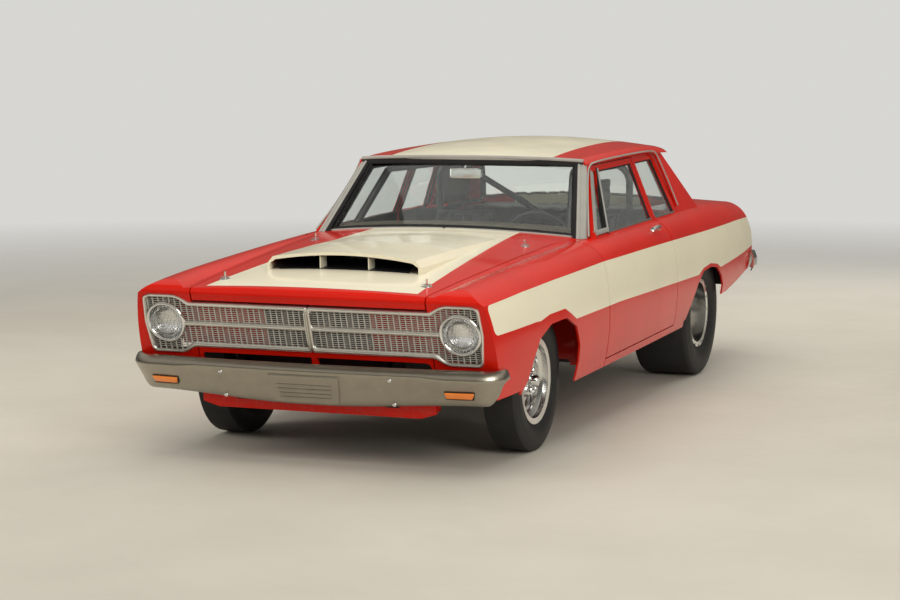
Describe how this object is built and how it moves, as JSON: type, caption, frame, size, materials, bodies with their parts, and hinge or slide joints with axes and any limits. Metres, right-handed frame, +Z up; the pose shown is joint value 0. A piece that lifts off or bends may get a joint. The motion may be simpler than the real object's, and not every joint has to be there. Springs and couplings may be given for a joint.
{
  "type": "drag racing car",
  "caption": "Two-door saloon car built for drag racing, with a hood scoop, narrow front tyres, wide rear slicks and a roll cage.",
  "frame": {"origin": "on the floor under the middle of the car", "axes": "+X to the car's left, +Y to its rear, +Z up"},
  "size_m": [1.9222, 5.1672, 1.4712],
  "materials": {
    "paint_red": "gloss red paint",
    "dark_paint": "satin black paint",
    "engine_paint": "black engine paint",
    "silver_paint": "satin silver paint",
    "bright_trim": "bright satin trim",
    "chrome": "polished",
    "wheel_metal": "polished",
    "tyre": "matte",
    "glass": "clear",
    "lamp_glass": "clear lens",
    "lamp_red": "red lens",
    "seat_cover": "black",
    "dash_plastic": "satin",
    "wheel_plastic": "satin",
    "steel": "dull",
    "cast": "dull"
  },
  "bodies": {
    "body": {"front_fender_left": "paint_red", "front_fender_right": "paint_red", "nose_panel": "paint_red", "grille": "bright_trim", "headlamps": "lamp_glass", "front_bumper": "silver_paint", "radiator": "dark_paint", "hood_pins": "chrome", "scuttle": "paint_red", "dashboard": "dash_plastic", "engine_block": "engine_paint", "exhaust": "steel", "frame_rails": "dark_paint", "wheelhouse_walls": "dark_paint", "floor_pan": "dark_paint", "boot_floor": "dark_paint", "sills": "paint_red", "screen_pillars": "paint_red", "door_posts": "paint_red", "rear_pillars": "paint_red", "roof": "paint_red", "windscreen": "glass", "backlight": "glass", "quarter_glass": "glass", "quarter_panel_left": "paint_red", "quarter_panel_right": "paint_red", "package_shelf": "paint_red", "tail_panel": "paint_red", "tail_lamps": "lamp_red", "rear_bumper": "chrome", "fuel_tank": "steel", "seats": "seat_cover", "roll_cage": "dark_paint", "steering_column": "dark_paint", "front_suspension": "dark_paint", "rear_axle": "cast", "driveline": "steel"},
    "hood_panel": {"hood": "paint_red"},
    "boot_lid": {"decklid": "paint_red"},
    "left_door": {"door_left": "paint_red", "door_glass_left": "glass"},
    "right_door": {"door_right": "paint_red", "door_glass_right": "glass"},
    "hand_wheel": {"steering_wheel": "wheel_plastic"},
    "left_knuckle": {"knuckle_left": "cast"},
    "right_knuckle": {"knuckle_right": "cast"},
    "front_left_wheel": {"front_rim_left": "wheel_metal", "front_tyre_left": "tyre"},
    "front_right_wheel": {"front_rim_right": "wheel_metal", "front_tyre_right": "tyre"},
    "rear_left_wheel": {"rear_rim_left": "wheel_metal", "rear_tyre_left": "tyre"},
    "rear_right_wheel": {"rear_rim_right": "wheel_metal", "rear_tyre_right": "tyre"}
  },
  "joints": [
    {"name": "hood_lift", "type": "slide", "parent": "body", "child": "hood_panel", "axis": [0, -0.028, 0.9996], "range_m": [0, 0.5]},
    {"name": "boot_lid_hinge", "type": "hinge", "parent": "body", "child": "boot_lid", "pos_m": [0, 1.64067, 1.05168], "axis": [1, 0, 0], "range_deg": [0, 60]},
    {"name": "left_door_hinge", "type": "hinge", "parent": "body", "child": "left_door", "pos_m": [0.945, -0.84034, 0.62407], "axis": [0, 0.028, -0.9996], "range_deg": [0, 65]},
    {"name": "right_door_hinge", "type": "hinge", "parent": "body", "child": "right_door", "pos_m": [-0.945, -0.84034, 0.62407], "axis": [0, -0.028, 0.9996], "range_deg": [0, 65]},
    {"name": "left_steer", "type": "hinge", "parent": "body", "child": "left_knuckle", "pos_m": [0.64, -1.7, 0.345], "axis": [0, 0, 1], "range_deg": [-30, 30]},
    {"name": "right_steer", "type": "hinge", "parent": "body", "child": "right_knuckle", "pos_m": [-0.64, -1.7, 0.345], "axis": [0, 0, 1], "range_deg": [-30, 30]},
    {"name": "hand_wheel_turn", "type": "hinge", "parent": "body", "child": "hand_wheel", "pos_m": [0.36, -0.30741, 0.88409], "axis": [0, 0.9273, 0.3743], "range_deg": [-480, 480]},
    {"name": "front_left_spin", "type": "hinge", "parent": "left_knuckle", "child": "front_left_wheel", "pos_m": [0.768, -1.7, 0.345], "axis": [1, 0, 0], "continuous": true},
    {"name": "front_right_spin", "type": "hinge", "parent": "right_knuckle", "child": "front_right_wheel", "pos_m": [-0.768, -1.7, 0.345], "axis": [1, 0, 0], "continuous": true},
    {"name": "rear_left_spin", "type": "hinge", "parent": "body", "child": "rear_left_wheel", "pos_m": [0.716, 1.246, 0.385], "axis": [1, 0, 0], "continuous": true},
    {"name": "rear_right_spin", "type": "hinge", "parent": "body", "child": "rear_right_wheel", "pos_m": [-0.716, 1.246, 0.385], "axis": [1, 0, 0], "continuous": true}
  ],
  "couplings": [
    {"joint": "right_steer", "follows": "left_steer", "ratio": 1},
    {"joint": "hand_wheel_turn", "follows": "left_steer", "ratio": 16}
  ]
}
